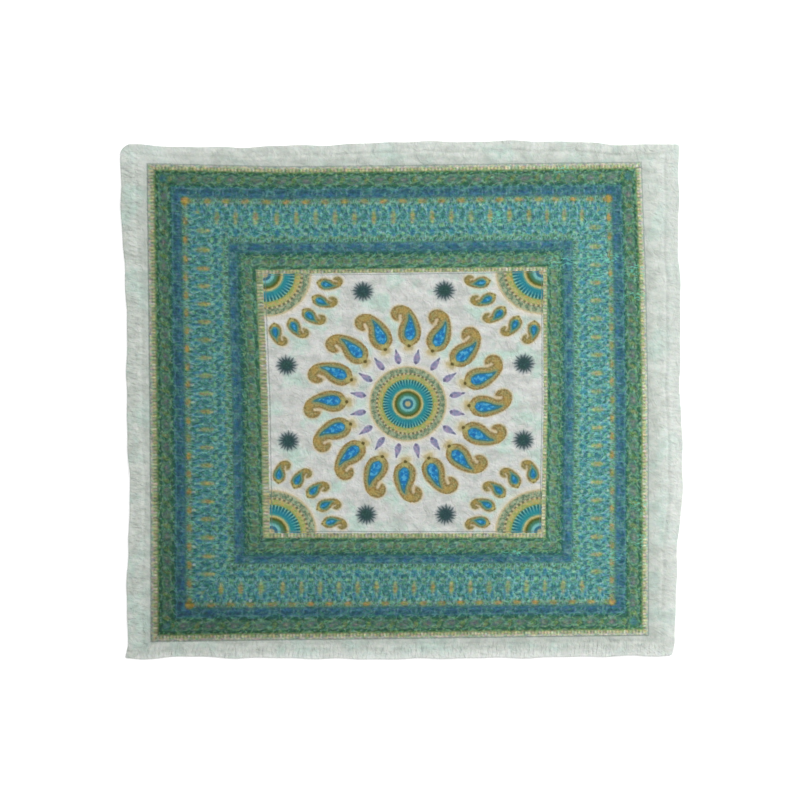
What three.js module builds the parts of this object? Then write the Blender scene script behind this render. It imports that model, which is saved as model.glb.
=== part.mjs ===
// A near-square velvet tablecloth about a metre wide, lying flat and face up on a level surface.
// It is one piece of cloth: the edge is turned under once all round and stitched down, so the
// border is two layers thick, with a shallow trough along the stitching. Units are millimetres,
// +X runs along the longer side, +Z is up, and z = 0 is the surface that the cloth lies on.
import * as THREE from "three";

const CLOTH_WIDTH = 1000;
const CLOTH_DEPTH = 924;
const PILE_HEIGHT = 1.9;
const LOWEST_TOP = 1.2;
const HIGHEST_TOP = 3;

// The hem: how far it is turned under on each side, the height that the second layer adds,
// and the trough that the stitching pulls into it.
const HEM = {
  left: 26,
  right: 25,
  top: 18,
  bottom: 25,
  rise: 0.75,
  seamDip: 0.8,
  seamWidth: 3.2,
  bunchPitch: 43,
  bunchHeight: 0.16,
};

// The rolled outer edge: how far it rounds inward above and below, and where it is widest.
const EDGE = { shoulder: 3, tuck: 1.2, height: 1.2, topDrop: 0.45 };

// How far each edge lies outside the straight one, at stations along the cloth. The hand-cut
// edges bow and wave, so the two long edges and the two short ones all differ.
const LONG_EDGES = [
  { x: -500, top: -9, bottom: -5 },
  { x: -400, top: -9, bottom: -4 },
  { x: -300, top: -10, bottom: -2.5 },
  { x: -200, top: -7, bottom: -2 },
  { x: -100, top: -5, bottom: -1.5 },
  { x: 0, top: -2, bottom: 0 },
  { x: 100, top: 0, bottom: -1.5 },
  { x: 200, top: 1.5, bottom: -1 },
  { x: 300, top: -1, bottom: -3.5 },
  { x: 400, top: -5, bottom: -3.5 },
  { x: 500, top: -5.5, bottom: -4 },
];
const SHORT_EDGES = [
  { y: 462, left: 0.5, right: -4.5 },
  { y: 360, left: 0.5, right: -5 },
  { y: 270, left: -3.5, right: -5.5 },
  { y: 180, left: -9, right: -3 },
  { y: 90, left: -11.5, right: -2.5 },
  { y: 0, left: -10.5, right: -1.5 },
  { y: -90, left: -12.5, right: 0.5 },
  { y: -180, left: -14.5, right: 0.5 },
  { y: -270, left: -11.5, right: -7 },
  { y: -360, left: -10.5, right: -9.5 },
  { y: -462, left: -10, right: -14 },
];
const EDGE_RIPPLES = [
  { pitch: 74, height: 0.55, shift: 0.3 },
  { pitch: 131, height: 0.8, shift: 1.9 },
];

// The corners, anticlockwise from the top left: a rounding, and a pull on the tip.
const CORNERS = [
  { name: "soft", x: -1, y: 1, radius: 16, pullX: 0, pullY: 0 },
  { name: "drawn-out", x: -1, y: -1, radius: 3, pullX: -4, pullY: 5 },
  { name: "slanted", x: 1, y: -1, radius: 5, pullX: -5, pullY: 3 },
  { name: "square", x: 1, y: 1, radius: 4, pullX: 0, pullY: -1 },
];
const PULL_REACH = 26;

// Long low swells all over the cloth, each a wave across the given heading.
const SWELLS = [
  { pitch: 236, heading: 82, height: 0.2, shift: 0.6 },
  { pitch: 163, heading: 11, height: 0.16, shift: 2.3 },
  { pitch: 118, heading: 71, height: 0.15, shift: 4.1 },
  { pitch: 91, heading: 104, height: 0.13, shift: 1.2 },
  { pitch: 67, heading: 158, height: 0.09, shift: 3.4 },
];

// The main creases, left by handling: ridges (up) and troughs (down) between two points.
const CREASES = [
  { x1: -229, y1: 306, x2: -47, y2: 332, width: 9, rise: 0.6 },
  { x1: -47, y1: 332, x2: -44, y2: 346, width: 9, rise: 0.4 },
  { x1: -470, y1: 446, x2: 60, y2: 455, width: 9, rise: -0.45 },
  { x1: 40, y1: 448, x2: 470, y2: 443, width: 8, rise: -0.4 },
  { x1: 452, y1: 330, x2: 461, y2: -60, width: 10, rise: -0.35 },
  { x1: 240, y1: 196, x2: 430, y2: 312, width: 16, rise: 0.5 },
  { x1: 300, y1: 120, x2: 455, y2: 215, width: 14, rise: -0.4 },
  { x1: 20, y1: -232, x2: 120, y2: -268, width: 14, rise: 0.4 },
  { x1: 330, y1: -170, x2: 440, y2: -330, width: 15, rise: 0.45 },
  { x1: -455, y1: 180, x2: -440, y2: -380, width: 12, rise: 0.35 },
  { x1: -330, y1: -445, x2: 250, y2: -437, width: 9, rise: -0.35 },
];

// Rows of points near an edge, as shares of the hem's depth, and the wider cells inside them.
const HEM_ROWS = [0.12, 0.45, 0.8, 1, 1.2, 1.6];
const CELL = 19;

const clamp = (v, low, high) => Math.min(high, Math.max(low, v));
const mix = (a, b, t) => a + (b - a) * t;
const smooth = (from, to, v) => {
  const t = clamp((v - from) / (to - from), 0, 1);
  return t * t * (3 - 2 * t);
};

// A smooth curve through one column of a station table, which runs up or down in `key`.
function along(table, key, column, at) {
  const last = table.length - 1;
  const down = table[0][key] > table[last][key];
  const place = (i) => table[clamp(i, 0, last)];
  let i = 0;
  while (i < last - 1 && (down ? at < place(i + 1)[key] : at > place(i + 1)[key])) i += 1;
  const t = clamp((at - place(i)[key]) / (place(i + 1)[key] - place(i)[key]), 0, 1);
  const [a, b, c, d] = [i - 1, i, i + 1, i + 2].map((k) => place(k)[column]);
  const slopeIn = (c - a) / 2;
  const slopeOut = (d - b) / 2;
  const t2 = t * t;
  const t3 = t2 * t;
  return (
    b * (2 * t3 - 3 * t2 + 1) + slopeIn * (t3 - 2 * t2 + t) +
    c * (3 * t2 - 2 * t3) + slopeOut * (t3 - t2)
  );
}

function ripple(at, turn) {
  const waves = EDGE_RIPPLES.map((r) => r.height * Math.sin((2 * Math.PI * at) / r.pitch + r.shift + turn));
  return waves.reduce((sum, w) => sum + w, 0);
}

const edges = {
  left: (y) => -CLOTH_WIDTH / 2 - along(SHORT_EDGES, "y", "left", y) + ripple(y, 0),
  right: (y) => CLOTH_WIDTH / 2 + along(SHORT_EDGES, "y", "right", y) + ripple(y, 1.7),
  top: (x) => CLOTH_DEPTH / 2 + along(LONG_EDGES, "x", "top", x) + ripple(x, 3.1),
  bottom: (x) => -CLOTH_DEPTH / 2 - along(LONG_EDGES, "x", "bottom", x) + ripple(x, 4.6),
};

// Places across the cloth: each is a distance from one edge, or a share of the middle.
function stations(span, lowHem, highHem) {
  const margin = HEM_ROWS[HEM_ROWS.length - 1];
  const inside = span - margin * (lowHem + highHem);
  const cells = Math.round(inside / CELL);
  const low = [{ low: 0 }, ...HEM_ROWS.map((share) => ({ low: share * lowHem }))];
  const high = [...HEM_ROWS.map((share) => ({ high: share * highHem })).reverse(), { high: 0 }];
  const middle = Array.from({ length: cells - 1 }, (_, i) => ({ share: (i + 1) / cells }));
  return [...low, ...middle, ...high];
}

function place(station, low, high, lowHem, highHem) {
  const margin = HEM_ROWS[HEM_ROWS.length - 1];
  if (station.low !== undefined) return low + station.low;
  if (station.high !== undefined) return high - station.high;
  return mix(low + margin * lowHem, high - margin * highHem, station.share);
}

const columns = stations(CLOTH_WIDTH, HEM.left, HEM.right);
const rows = stations(CLOTH_DEPTH, HEM.bottom, HEM.top);

// Rounds and pulls the corners of the cloth's grid.
function cornered(x, y) {
  const bounds = {
    left: edges.left(y),
    right: edges.right(y),
    top: edges.top(x),
    bottom: edges.bottom(x),
  };
  let px = x;
  let py = y;
  for (const corner of CORNERS) {
    const a = corner.x < 0 ? x - bounds.left : bounds.right - x;
    const b = corner.y < 0 ? y - bounds.bottom : bounds.top - y;
    const reachX = clamp(corner.radius - a, 0, corner.radius);
    const reachY = clamp(corner.radius - b, 0, corner.radius);
    if (reachX > 0 && reachY > 0) {
      const shrink = Math.max(reachX, reachY) / Math.hypot(reachX, reachY) - 1;
      px += corner.x * reachX * shrink;
      py += corner.y * reachY * shrink;
    }
    const pull = clamp(1 - a / PULL_REACH, 0, 1) * clamp(1 - b / PULL_REACH, 0, 1);
    px += corner.pullX * pull;
    py += corner.pullY * pull;
  }
  return [px, py];
}

// Each grid point with its distance from every edge. Edges and places depend on each other,
// so they are settled in a few rounds.
function gridPoint(column, row) {
  let x = 0;
  let y = 0;
  for (let round = 0; round < 4; round += 1) {
    x = place(column, edges.left(y), edges.right(y), HEM.left, HEM.right);
    y = place(row, edges.bottom(x), edges.top(x), HEM.bottom, HEM.top);
  }
  const inset = {
    left: x - edges.left(y),
    right: edges.right(y) - x,
    bottom: y - edges.bottom(x),
    top: edges.top(x) - y,
  };
  const [px, py] = cornered(x, y);
  return { x: px, y: py, inset };
}

function swellHeight(x, y) {
  const waves = SWELLS.map(({ pitch, heading, height, shift }) => {
    const turn = THREE.MathUtils.degToRad(heading);
    const run = x * Math.cos(turn) + y * Math.sin(turn);
    return height * Math.sin((2 * Math.PI * run) / pitch + shift);
  });
  return waves.reduce((sum, w) => sum + w, 0);
}

function creaseHeight(x, y) {
  return CREASES.reduce((sum, c) => {
    const dx = c.x2 - c.x1;
    const dy = c.y2 - c.y1;
    const length = Math.hypot(dx, dy);
    const run = ((x - c.x1) * dx + (y - c.y1) * dy) / length;
    const off = ((x - c.x1) * dy - (y - c.y1) * dx) / length;
    const end = smooth(-c.width, c.width, run) * smooth(length + c.width, length - c.width, run);
    return sum + c.rise * end * Math.exp(-((off / c.width) ** 2));
  }, 0);
}

// The height of the pile over the surface below.
function topHeight({ x, y, inset }) {
  const shares = ["left", "right", "bottom", "top"].map((side) => ({
    side,
    share: inset[side] / HEM[side],
  }));
  const nearest = shares.reduce((a, b) => (b.share < a.share ? b : a));
  const fromSeam = (nearest.share - 1) * HEM[nearest.side];
  const hem = HEM.rise * smooth(1.05, 0.85, nearest.share);
  const seam = HEM.seamDip * Math.exp(-((fromSeam / HEM.seamWidth) ** 2));
  const run = nearest.side === "left" || nearest.side === "right" ? y : x;
  const bunch = HEM.bunchHeight * Math.sin((2 * Math.PI * run) / HEM.bunchPitch) * smooth(1.6, 0.9, nearest.share);
  const edge = Math.min(inset.left, inset.right, inset.bottom, inset.top);
  const roll = EDGE.topDrop * smooth(EDGE.shoulder, 0, edge);
  const z = PILE_HEIGHT + hem - seam + bunch - roll + swellHeight(x, y) + creaseHeight(x, y);
  return clamp(z, LOWEST_TOP, HIGHEST_TOP);
}

function clothGeometry() {
  const points = [];
  const faces = [];
  const across = columns.length;
  const down = rows.length;
  const top = (i, j) => j * across + i;
  for (const row of rows)
    for (const column of columns) {
      const p = gridPoint(column, row);
      points.push(new THREE.Vector3(p.x, p.y, topHeight(p)));
    }
  for (let j = 0; j < down - 1; j += 1)
    for (let i = 0; i < across - 1; i += 1) {
      const [a, b, c, d] = [top(i, j), top(i + 1, j), top(i + 1, j + 1), top(i, j + 1)];
      if ((i + j) % 2) faces.push([a, b, c], [a, c, d]);
      else faces.push([a, b, d], [b, c, d]);
    }

  // The outline, anticlockwise from the bottom left.
  const outline = [];
  for (let i = 0; i < across - 1; i += 1) outline.push(top(i, 0));
  for (let j = 0; j < down - 1; j += 1) outline.push(top(across - 1, j));
  for (let i = across - 1; i > 0; i -= 1) outline.push(top(i, down - 1));
  for (let j = down - 1; j > 0; j -= 1) outline.push(top(0, j));

  // The edge's shoulder is drawn inward from its widest line, and so is the line it rests on.
  const inward = outline.map((at, k) => {
    const before = points[outline[(k + outline.length - 1) % outline.length]];
    const after = points[outline[(k + 1) % outline.length]];
    return new THREE.Vector3(before.y - after.y, after.x - before.x, 0).normalize();
  });
  const widest = outline.map((at) => points.push(new THREE.Vector3(points[at].x, points[at].y, EDGE.height)) - 1);
  const resting = outline.map((at, k) => {
    const foot = points[widest[k]].clone().addScaledVector(inward[k], EDGE.tuck);
    return points.push(foot.setZ(0)) - 1;
  });
  outline.forEach((at, k) => points[at].addScaledVector(inward[k], EDGE.tuck));
  outline.forEach((at, k) => {
    const next = (k + 1) % outline.length;
    faces.push([at, widest[k], widest[next]], [at, widest[next], outline[next]]);
    faces.push([widest[k], resting[k], resting[next]], [widest[k], resting[next], widest[next]]);
  });

  // The underside is one flat face.
  const foot = resting.map((at) => new THREE.Vector2(points[at].x, points[at].y));
  for (const [a, b, c] of THREE.ShapeUtils.triangulateShape(foot, []))
    faces.push([resting[a], resting[c], resting[b]]);

  const geometry = new THREE.BufferGeometry();
  geometry.setAttribute(
    "position",
    new THREE.Float32BufferAttribute(points.flatMap((p) => [p.x, p.y, p.z]), 3),
  );
  geometry.setIndex(faces.flat());
  geometry.computeBoundingBox();
  const middle = geometry.boundingBox.getCenter(new THREE.Vector3());
  geometry.translate(-middle.x, -middle.y, 0);
  geometry.computeVertexNormals();
  return geometry;
}

const velvet = new THREE.MeshStandardMaterial({
  name: "printed crushed velvet",
  color: 0x8fae9f,
  roughness: 0.8,
  metalness: 0,
});

const cloth = new THREE.Mesh(clothGeometry(), velvet);
cloth.name = "velvet_cloth";

const tablecloth = new THREE.Group();
tablecloth.add(cloth);

export default tablecloth;
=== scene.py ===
# A square velvet table cover, printed with paisleys and borders, hemmed and lying face up.
import math

import bpy
import numpy as np
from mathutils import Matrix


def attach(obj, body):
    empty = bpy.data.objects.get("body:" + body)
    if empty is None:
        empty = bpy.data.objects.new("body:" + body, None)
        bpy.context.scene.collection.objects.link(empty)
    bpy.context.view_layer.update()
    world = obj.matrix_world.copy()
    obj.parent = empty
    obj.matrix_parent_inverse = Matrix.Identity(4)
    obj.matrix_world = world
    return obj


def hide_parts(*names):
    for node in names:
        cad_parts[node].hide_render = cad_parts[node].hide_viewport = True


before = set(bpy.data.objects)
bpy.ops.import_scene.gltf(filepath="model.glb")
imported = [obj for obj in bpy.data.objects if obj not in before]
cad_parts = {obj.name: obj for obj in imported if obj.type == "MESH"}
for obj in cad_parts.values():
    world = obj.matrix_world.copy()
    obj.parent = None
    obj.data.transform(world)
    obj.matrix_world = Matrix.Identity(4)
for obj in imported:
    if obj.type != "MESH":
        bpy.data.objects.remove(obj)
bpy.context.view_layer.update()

# The velvet
# One piece of crushed polyester velvet, printed on its pile side. It lies flat; its edge is
# turned under once all round and stitched down, so the border is two layers thick.
MM = 0.001
cloth_width, cloth_depth = 1000, 924
pile_height, back_height = 1.9, 0.15
hem_depth = {"left": 26, "right": 25, "bottom": 25, "top": 18}
hem_rise, seam_dip, seam_width = 0.75, 0.8, 3.2
sides, depths = list(hem_depth), np.array(list(hem_depth.values()), float)

# How far each edge bows outside the straight one, at stations along the cloth.
along_x = [-500, -400, -300, -200, -100, 0, 100, 200, 300, 400, 500]
along_y = [-462, -360, -270, -180, -90, 0, 90, 180, 270, 360, 462]
bow = {
    "top": [-4.5, -8.5, -10, -7, -5, 0, 0, 1.5, 0, -5, -4],
    "bottom": [0, -7.5, -5.5, -5, -3.5, -3.5, -5, -5.5, -7, -9, -7.5],
    "left": [-15, -13, -14.5, -18.5, -15, -12.5, -13, -12, -6.5, -2, -2],
    "right": [-14, -9.5, -8, 0.5, 2, -2.3, -2.7, -1.6, -5.5, -5, -4.5],
}
# Pitch, height and shift of the waver along every edge.
edge_ripples = [(74, 0.55, 0.3), (131, 0.8, 1.9)]
# Which way each edge faces, the size of the cloth that way, its stations, and its ripple's shift.
edges = {
    "left": (-1, cloth_width, along_y, 0),
    "right": (1, cloth_width, along_y, 1.7),
    "bottom": (-1, cloth_depth, along_x, 4.6),
    "top": (1, cloth_depth, along_x, 3.1),
}


def curve(at, stations, values):
    """A smooth curve through values at stations."""
    stations, values = np.array(stations, float), np.array(values, float)
    last = len(stations) - 1
    i = np.clip(np.searchsorted(stations, at) - 1, 0, last - 1)
    t = np.clip((at - stations[i]) / (stations[i + 1] - stations[i]), 0, 1)
    ends = np.concatenate(([values[0]], values, [values[-1]]))
    before, start, end, after = (ends[i + k] for k in range(4))
    slope_in, slope_out = (end - before) / 2, (after - start) / 2
    curved = start * (2 * t**3 - 3 * t**2 + 1) + slope_in * (t**3 - 2 * t**2 + t)
    return curved + end * (3 * t**2 - 2 * t**3) + slope_out * (t**3 - t**2)


def edge(side, at):
    """Where an edge of the cloth lies, in mm."""
    facing, size, stations, turn = edges[side]
    ripple = sum(h * np.sin(2 * math.pi * at / pitch + shift + turn) for pitch, h, shift in edge_ripples)
    return facing * (size / 2 + curve(at, stations, bow[side])) + ripple


def step(start, end, value):
    """A smooth step from 0 at start to 1 at end."""
    t = np.clip((value - start) / (end - start), 0, 1)
    return t * t * (3 - 2 * t)


# Corners: the side it is on, its rounding, and a pull on its tip.
corners = [(-1, 1, 18, 0, 0), (-1, -1, 3, -4, 3), (1, -1, 3, -4, 3), (1, 1, 4, 0, -1)]
pull_reach = 26
# Each edge depends on the place along it, so a point is found in a few rounds.
lay_rounds = 5


def lay(across, up, share, tuck=0):
    """Points of the cloth at shares across and up, drawn in by a share of the hem and a tuck in mm."""
    x, y = np.zeros(np.shape(across)), np.zeros(np.shape(across))
    inset = [share * depth + tuck for depth in depths]
    for _ in range(lay_rounds):
        low, high = edge("left", y) + inset[0], edge("right", y) - inset[1]
        x = low + (high - low) * across
        low, high = edge("bottom", x) + inset[2], edge("top", x) - inset[3]
        y = low + (high - low) * up
    reach = np.array([x - edge("left", y), edge("right", y) - x, y - edge("bottom", x), edge("top", x) - y])
    px, py = x.copy(), y.copy()
    for side_x, side_y, radius, pull_x, pull_y in corners:
        a, b = reach[0 if side_x < 0 else 1], reach[2 if side_y < 0 else 3]
        in_x, in_y = np.clip(radius - a, 0, radius), np.clip(radius - b, 0, radius)
        both = (in_x > 0) & (in_y > 0)
        shrink = np.where(both, np.maximum(in_x, in_y) / np.maximum(np.hypot(in_x, in_y), 1e-9) - 1, 0)
        pull = np.clip(1 - a / pull_reach, 0, 1) * np.clip(1 - b / pull_reach, 0, 1)
        px += side_x * in_x * shrink + pull_x * pull
        py += side_y * in_y * shrink + pull_y * pull
    return px, py, reach


# Long low swells: pitch, heading in degrees, height and shift.
swells = [
    (236, 82, 0.2, 0.6),
    (163, 11, 0.16, 2.3),
    (118, 71, 0.15, 4.1),
    (91, 104, 0.13, 1.2),
    (67, 158, 0.09, 3.4),
]
# The main creases, left by handling: from and to in mm, half width, and rise or fall.
creases = [
    (-229, 306, -47, 332, 9, 0.6),
    (-47, 332, -44, 346, 9, 0.4),
    (-470, 446, 60, 455, 9, -0.45),
    (40, 448, 470, 443, 8, -0.4),
    (452, 330, 461, -60, 10, -0.35),
    (240, 196, 430, 312, 16, 0.5),
    (300, 120, 455, 215, 14, -0.4),
    (20, -232, 120, -268, 14, 0.4),
    (330, -170, 440, -330, 15, 0.45),
    (-455, 180, -440, -380, 12, 0.35),
    (-330, -445, 250, -437, 9, -0.35),
]
# Puckers that the stitching draws into the hem: pitch, height and slant on each side.
puckers = {
    "left": (8.6, 0.34, 0.5),
    "right": (7.4, 0.26, 0.1),
    "bottom": (9.4, 0.4, -0.6),
    "top": (12.5, 0.16, 0.3),
}
# How far in from the seam they fade, how uneven they are and how far they waver. A finer wave on
# them: how much more often it rises, its height and shift. Then the hem's wider bunching.
pucker_fade, pucker_change, pucker_waver = 9, 0.45, 3.5
finer, finer_height, finer_shift = 2.13, 0.35, 1.1
bunch_height, bunch_pitch = 0.16, 43
# Heights of the crushing: wide, small, its sharp crinkles, and what lifts it back to the level.
wide_height, small_height, crinkle_height, crush_lift = 0.2, 0.13, 0.16, 0.12
thinnest = 1.2


def crumple(seed, across, up):
    """Seeded noise on a 2 mm grid, repeating every 1.2 m, whose grains are about across by up mm."""
    count, pitch = 600, 2.0
    white = np.random.default_rng(seed).standard_normal((count, count))
    waves = np.fft.fftfreq(count, pitch)
    size = (waves[None, :] * across) ** 2 + (waves[:, None] * up) ** 2
    field = np.fft.ifft2(np.fft.fft2(white) * size * np.exp(-size)).real
    field /= field.std()

    def sample(x, y):
        u, v = (x / pitch) % count, (y / pitch) % count
        i, j = u.astype(int) % count, v.astype(int) % count
        s, t = u - np.floor(u), v - np.floor(v)
        near = field[j, i] * (1 - s) + field[j, (i + 1) % count] * s
        far = field[(j + 1) % count, i] * (1 - s) + field[(j + 1) % count, (i + 1) % count] * s
        return near * (1 - t) + far * t

    return sample


wide_crush, small_crush, crinkle = crumple(3, 46, 22), crumple(5, 19, 12), crumple(11, 34, 15)
waver, unevenness = crumple(17, 90, 90), crumple(23, 140, 110)


def face_height(x, y, reach):
    """The height of the pile side."""
    shares = reach / depths.reshape([4] + [1] * (reach.ndim - 1))
    nearest, share = shares.argmin(0), shares.min(0)
    from_seam = (share - 1) * depths[nearest]
    run = np.where(nearest < 2, y, x)
    pitch, height, slant = (np.array([puckers[side][k] for side in sides])[nearest] for k in range(3))
    height = height * np.clip(1 + pucker_change * unevenness(x * 3, y * 3), 0.2, 2)
    turn = 2 * math.pi * (run + slant * from_seam + pucker_waver * waver(x, y)) / pitch
    inward = np.exp(-((from_seam / pucker_fade) ** 2))
    shape = np.where(from_seam < 0, step(-1.05, -0.5, share - 1), inward)
    pucker = height * shape * (np.sin(turn) + finer_height * np.sin(finer * turn + finer_shift))
    bunch = bunch_height * np.sin(2 * math.pi * run / bunch_pitch) * step(1.6, 0.9, share)
    swell = 0
    for wave, heading, rise, shift in swells:
        turned = x * math.cos(math.radians(heading)) + y * math.sin(math.radians(heading))
        swell = swell + rise * np.sin(2 * math.pi * turned / wave + shift)
    for x1, y1, x2, y2, width, rise in creases:
        length = math.hypot(x2 - x1, y2 - y1)
        ahead = ((x - x1) * (x2 - x1) + (y - y1) * (y2 - y1)) / length
        aside = ((x - x1) * (y2 - y1) - (y - y1) * (x2 - x1)) / length
        ends = step(-width, width, ahead) * step(length + width, length - width, ahead)
        swell = swell + rise * ends * np.exp(-((aside / width) ** 2))
    crush = wide_height * wide_crush(x, y) + small_height * small_crush(x, y)
    crush = (crush - crinkle_height * np.abs(crinkle(x, y)) + crush_lift) * step(0.4, 1.3, share)
    hem = hem_rise * step(1.05, 0.85, share) - seam_dip * np.exp(-((from_seam / seam_width) ** 2))
    return np.maximum(pile_height + hem + pucker + bunch + swell + crush, thinnest)


# Where the print lies on the cloth. It is a little crooked, and wider at the left: the outer
# and inner frame lines at even stations, then each band's distance in from the outer line.
frame_stations = [-430, -215, 0, 215, 430]
frame_lines = {
    "left": ([-444.8, -444.8, -446.6, -449, -451.4], [-229.5, -230.4, -233.7, -242.4, -243]),
    "right": ([439.8, 439.8, 438.9, 434.8, 426.7], [248, 248.2, 252.4, 251.4, 251]),
    "bottom": ([-428.4, -425.3, -422.9, -419.9, -417.3], [-233.4, -233.4, -234, -233.4, -233.4]),
    "top": ([420.8, 415.6, 417.6, 421, 423.6], [223.6, 223.8, 226, 228.8, 229.3]),
}
# Each line of the plan, in mm out from its centre, and how far in from the outer line it
# was printed on the left, right, bottom and top.
bands = [
    (420.0, 0, 0, 0, 0),
    (408.3, 13.9, 11, 11.9, 11.2),
    (383.4, 39.5, 36.5, 36.3, 35.2),
    (379.0, 43.6, 39, 40.9, 38.8),
    (357.8, 66.8, 62.5, 61.4, 61.6),
    (329.3, 99.7, 87.8, 89.7, 90),
    (285.3, 146.3, 130.8, 133.9, 134.2),
    (270.6, 162.2, 146.9, 147.6, 150.2),
    (240.0, 196.2, 177.5, 178.4, 180.8),
    (229.6, 212, 186.5, 189.6, 190),
]
plan_lines = np.array([band[0] for band in bands])


def planned(at, other, low_side, high_side):
    """Turns a place on the cloth to its place in the print's plan, along one axis."""
    lines = {}
    for side in (low_side, high_side):
        lines[side] = [np.interp(other, frame_stations, line) for line in frame_lines[side]]
    low, high = lines[low_side][1], lines[high_side][1]
    found = ((at - low) / (high - low) * 2 - 1) * plan_lines[-1]
    for side, sign in ((low_side, -1), (high_side, 1)):
        outer, inner = lines[side]
        printed = np.array([band[1 + sides.index(side)] for band in bands], float)
        depth = (outer - at) * sign
        share = depth / ((outer - inner) * sign)
        inside = np.interp(share, printed / printed[-1], plan_lines)
        band = np.where(depth < 0, plan_lines[0] - depth, inside) * sign
        found = np.where((at - inner) * sign > 0, band, found)
    return found


# The mesh: a fine grid for the middle, then loops of twice as many points that run out over
# the hem, round the folded edge, back under it to the cut edge, and up to the woven back. The
# shares are of the hem's depth, in from the edge.
cells_across, cells_up = 228, 212
start_share = 1.25
top_shares = [1.25, 1.13, 1.06, 1.0, 0.94, 0.86, 0.74, 0.6, 0.46, 0.32, 0.2, 0.11]
fold_turns = [90, 50, 15, -20, -55, -90]
fold_radius = 1.3
under_shares, under_wave = [0.35, 0.72, 1.1], 0.05
# The last loops rise to the back's own height.
back_shares = [(1.105, 0.65), (1.17, 0.6), (1.25, 0.5)]
back_step = 4
points, loops = [], []


def add_points(x, y, z):
    """Adds points to the mesh in hand, and returns their numbers."""
    first = sum(len(part) for part in points)
    points.append(np.column_stack([x.ravel(), y.ravel(), z.ravel()]))
    return first + np.arange(x.size).reshape(x.shape)


def around(rows, columns):
    """The rows and columns of a grid's outer points, anticlockwise from the bottom left."""
    row = np.r_[[0] * columns, 0:rows, [rows] * columns, rows:0:-1]
    return row, np.r_[0:columns, [columns] * rows, columns:0:-1, [0] * rows]


def fill(grid, rim, facing_up=True):
    """The faces of a grid. Its outer ones also take in the points of a finer rim."""
    outline = grid[around(grid.shape[0] - 1, grid.shape[1] - 1)].tolist()
    per_cell = len(rim) // len(outline)
    between = {}
    for k, (start, end) in enumerate(zip(outline, outline[1:] + outline[:1])):
        between[start, end] = rim[k * per_cell + 1 : (k + 1) * per_cell].tolist()
        between[end, start] = between[start, end][::-1]
    filled = []
    for low, high in zip(grid.tolist(), grid[1:].tolist()):
        for i in range(len(low) - 1):
            corner = [low[i], low[i + 1], high[i + 1], high[i]]
            corner = corner if facing_up else [low[i], *corner[:0:-1]]
            face = []
            for start, end in zip(corner, corner[1:] + corner[:1]):
                face += [start, *between.get((start, end), [])]
            filled.append(face)
    return filled


u, v = np.meshgrid(np.arange(cells_across + 1) / cells_across, np.arange(cells_up + 1) / cells_up)
x, y, reach = lay(u, v, start_share)
grid = add_points(x, y, face_height(x, y, reach))

# The loops' shares across and up.
ring_v, ring_u = around(2 * cells_up, 2 * cells_across)
ring_u, ring_v = ring_u / (2 * cells_across), ring_v / (2 * cells_up)
for share in top_shares:
    x, y, reach = lay(ring_u, ring_v, share)
    loops.append(add_points(x, y, face_height(x, y, reach)))
for turn in fold_turns:
    tuck = fold_radius * (1 - math.cos(math.radians(turn)))
    x, y, reach = lay(ring_u, ring_v, 0, tuck)
    rise = (face_height(x, y, reach) - back_height) * (0.5 + 0.5 * math.sin(math.radians(turn)))
    loops.append(add_points(x, y, back_height + rise))
for share in under_shares:
    x, y, _ = lay(ring_u, ring_v, share)
    loops.append(add_points(x, y, back_height + under_wave * np.sin(x / 5 + y / 4)))
fold_end = len(loops)
for share, height in back_shares:
    x, y, _ = lay(ring_u, ring_v, share)
    loops.append(add_points(x, y, np.full_like(x, height)))

# The first loop stands on the grid's own outer points at every second place.
loops[0][::2] = grid[around(cells_up, cells_across)]
faces = fill(grid, loops[0])
pile_faces = len(faces) + (fold_end - 1) * ring_u.size
for inner, outer in zip(loops, loops[1:]):
    faces += np.column_stack([inner, outer, np.roll(outer, -1), np.roll(inner, -1)]).tolist()

# The woven back's middle, a coarse grid inside the last loop, lies on the table.
back_across, back_up = cells_across // back_step, cells_up // back_step
u, v = np.meshgrid(np.arange(1, back_across) / back_across, np.arange(1, back_up) / back_up)
x, y, reach = lay(u, v, start_share)
inside = np.min(reach / depths.reshape(4, 1, 1), 0)
height = back_height + (back_shares[-1][1] - back_height) * step(2.4, 1.25, inside)
back_grid = np.zeros((back_up + 1, back_across + 1), int)
back_grid[1:-1, 1:-1] = add_points(x, y, height)
back_grid[around(back_up, back_across)] = loops[-1][:: 2 * back_step]
faces += fill(back_grid, loops[-1], facing_up=False)

# The frame's origin, on the edge tables' own axes.
frame_origin = (0.35, 1.1)
kept = np.unique(np.concatenate(faces))
faces = [np.searchsorted(kept, face).tolist() for face in faces]
points = np.concatenate(points)[kept]
points[:, :2] -= frame_origin
plan_x = planned(points[:, 0], points[:, 1], "left", "right")
plan_y = planned(points[:, 1], points[:, 0], "bottom", "top")
scene = bpy.context.scene


def make_piece(name, points, faces):
    """A smooth mesh object from points in mm and faces."""
    mesh = bpy.data.meshes.new(name)
    mesh.from_pydata((points * MM).tolist(), [], faces)
    mesh.shade_smooth()
    piece = bpy.data.objects.new(name, mesh)
    scene.collection.objects.link(piece)
    return piece


velvet = make_piece("crushed_velvet", points, faces)
printed = velvet.data.attributes.new("print", "FLOAT_VECTOR", "POINT")
printed.data.foreach_set("vector", np.column_stack([plan_x, plan_y, np.zeros_like(plan_x)]).ravel())
velvet.data.polygons.foreach_set("material_index", (np.arange(len(faces)) >= pile_faces).astype(int))
velvet.data.update()

# The setting that says which way each kind of node works.
picked_by = {
    "Math": "operation",
    "VectorMath": "operation",
    "Mix": "data_type",
    "MapRange": "interpolation_type",
    "TexNoise": "noise_dimensions",
    "TexWhiteNoise": "noise_dimensions",
}


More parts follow.
